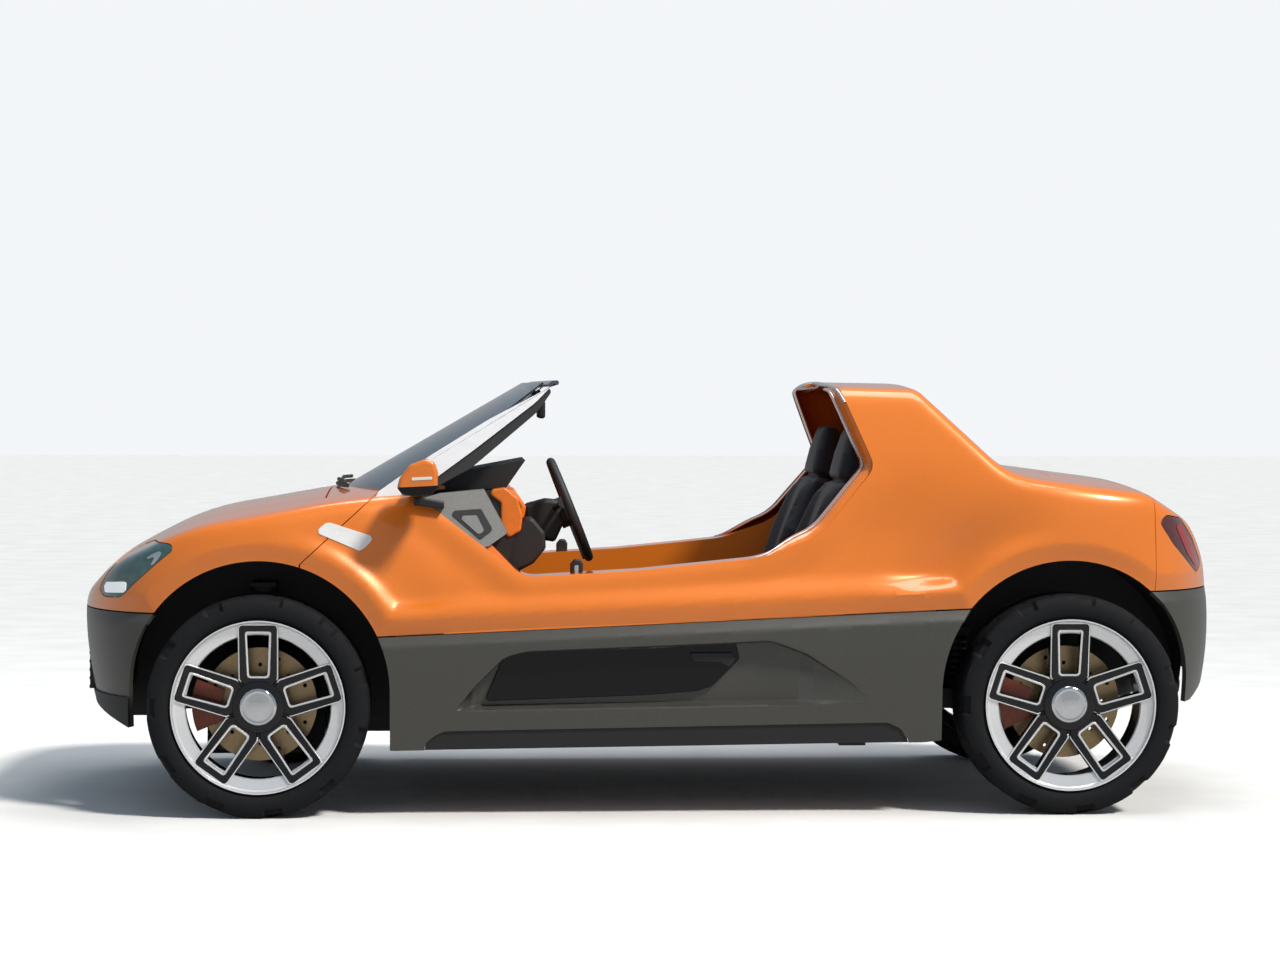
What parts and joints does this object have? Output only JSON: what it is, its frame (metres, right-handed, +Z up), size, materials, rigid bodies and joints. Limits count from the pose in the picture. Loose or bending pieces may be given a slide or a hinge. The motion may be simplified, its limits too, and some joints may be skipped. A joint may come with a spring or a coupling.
{
  "type": "two-seat buggy",
  "caption": "Open two-seat road buggy with flared orange panels over dark cladding, wrap-round windshield, broad roll hoop, front steering and turning wheels.",
  "frame": {"origin": "floor under the middle of the bounding box", "axes": "+X to the rear, so the front faces -X; +Y to the car's right side; +Z up"},
  "size_m": [3.5029, 1.88, 1.2999],
  "materials": {
    "body_paint": "gloss",
    "cladding": "satin",
    "gloss_black": "gloss",
    "frame_steel": "satin",
    "springs_steel": "satin",
    "alloy": "satin",
    "tyre_rubber": "matte",
    "brake_disc": "satin",
    "caliper_paint": "satin",
    "lamp_lens": "gloss",
    "glass": "gloss",
    "silver_frame": "gloss",
    "black_plastic": "matte",
    "seat_cover": "matte",
    "cast": "cast",
    "exhaust_steel": "brushed"
  },
  "bodies": {
    "chassis": {"body_side_left": "body_paint", "body_side_right": "body_paint", "boot_tub": "black_plastic", "calipers_rear": "caliper_paint", "centre_console": "black_plastic", "cowl": "body_paint", "dashboard": "black_plastic", "door_mirrors": "body_paint", "engine": "cast", "exhaust": "exhaust_steel", "firewall": "black_plastic", "floor_pan": "black_plastic", "front_arms": "frame_steel", "front_bumper": "cladding", "front_fender_left": "body_paint", "front_fender_right": "body_paint", "front_grille": "black_plastic", "headlamps": "lamp_lens", "inner_sills": "body_paint", "instrument_hood": "black_plastic", "interior_mirror": "black_plastic", "pedals": "black_plastic", "rear_axle": "frame_steel", "rear_bulkhead": "body_paint", "rear_bumper": "cladding", "rear_deck": "body_paint", "seat_left": "seat_cover", "seat_right": "seat_cover", "side_skirts": "cladding", "skirt_panels": "gloss_black", "springs": "springs_steel", "steering_column": "black_plastic", "steering_rack": "frame_steel", "subframes": "frame_steel", "tail_lamps": "lamp_lens", "tail_panel": "body_paint", "wheel_liners": "black_plastic", "windshield": "glass", "windshield_frame": "silver_frame"},
    "hood": {"hood": "body_paint"},
    "boot_lid": {"boot_lid": "body_paint"},
    "steering_wheel": {"steering_wheel": "black_plastic"},
    "steer_left": {"knuckle_left": "frame_steel", "caliper_front_left": "caliper_paint"},
    "steer_right": {"knuckle_right": "frame_steel", "caliper_front_right": "caliper_paint"},
    "wheel_fl": {"tyre_fl": "tyre_rubber", "rim_fl": "alloy", "disc_fl": "brake_disc"},
    "wheel_fr": {"tyre_fr": "tyre_rubber", "rim_fr": "alloy", "disc_fr": "brake_disc"},
    "wheel_rl": {"tyre_rl": "tyre_rubber", "rim_rl": "alloy", "disc_rl": "brake_disc"},
    "wheel_rr": {"tyre_rr": "tyre_rubber", "rim_rr": "alloy", "disc_rr": "brake_disc"}
  },
  "joints": [
    {"name": "hood_hinge", "type": "hinge", "parent": "chassis", "child": "hood", "pos_m": [-1, 0, 0.972], "axis": [0, 1, 0], "range_deg": [0, 55]},
    {"name": "boot_hinge", "type": "hinge", "parent": "chassis", "child": "boot_lid", "pos_m": [1.2195, 0, 1.02], "axis": [0, -1, 0], "range_deg": [0, 60]},
    {"name": "steer_left", "type": "hinge", "parent": "chassis", "child": "steer_left", "pos_m": [-1.188, -0.65, 0.33], "axis": [0, 0, 1], "range_deg": [-30, 30]},
    {"name": "steer_right", "type": "hinge", "parent": "chassis", "child": "steer_right", "pos_m": [-1.188, 0.65, 0.33], "axis": [0, 0, 1], "range_deg": [-30, 30]},
    {"name": "steering_wheel_turn", "type": "hinge", "parent": "chassis", "child": "steering_wheel", "pos_m": [-0.253, -0.36, 0.8995], "axis": [0.9282, 0, 0.3721], "range_deg": [-450, 450]},
    {"name": "wheel_fl_spin", "type": "hinge", "parent": "steer_left", "child": "wheel_fl", "pos_m": [-1.188, -0.717, 0.33], "axis": [0, 1, 0], "continuous": true},
    {"name": "wheel_fr_spin", "type": "hinge", "parent": "steer_right", "child": "wheel_fr", "pos_m": [-1.188, 0.717, 0.33], "axis": [0, 1, 0], "continuous": true},
    {"name": "wheel_rl_spin", "type": "hinge", "parent": "chassis", "child": "wheel_rl", "pos_m": [1.232, -0.717, 0.33], "axis": [0, 1, 0], "continuous": true},
    {"name": "wheel_rr_spin", "type": "hinge", "parent": "chassis", "child": "wheel_rr", "pos_m": [1.232, 0.717, 0.33], "axis": [0, 1, 0], "continuous": true}
  ],
  "couplings": [
    {"joint": "steer_right", "follows": "steer_left", "ratio": 1},
    {"joint": "steering_wheel_turn", "follows": "steer_left", "ratio": 15}
  ]
}
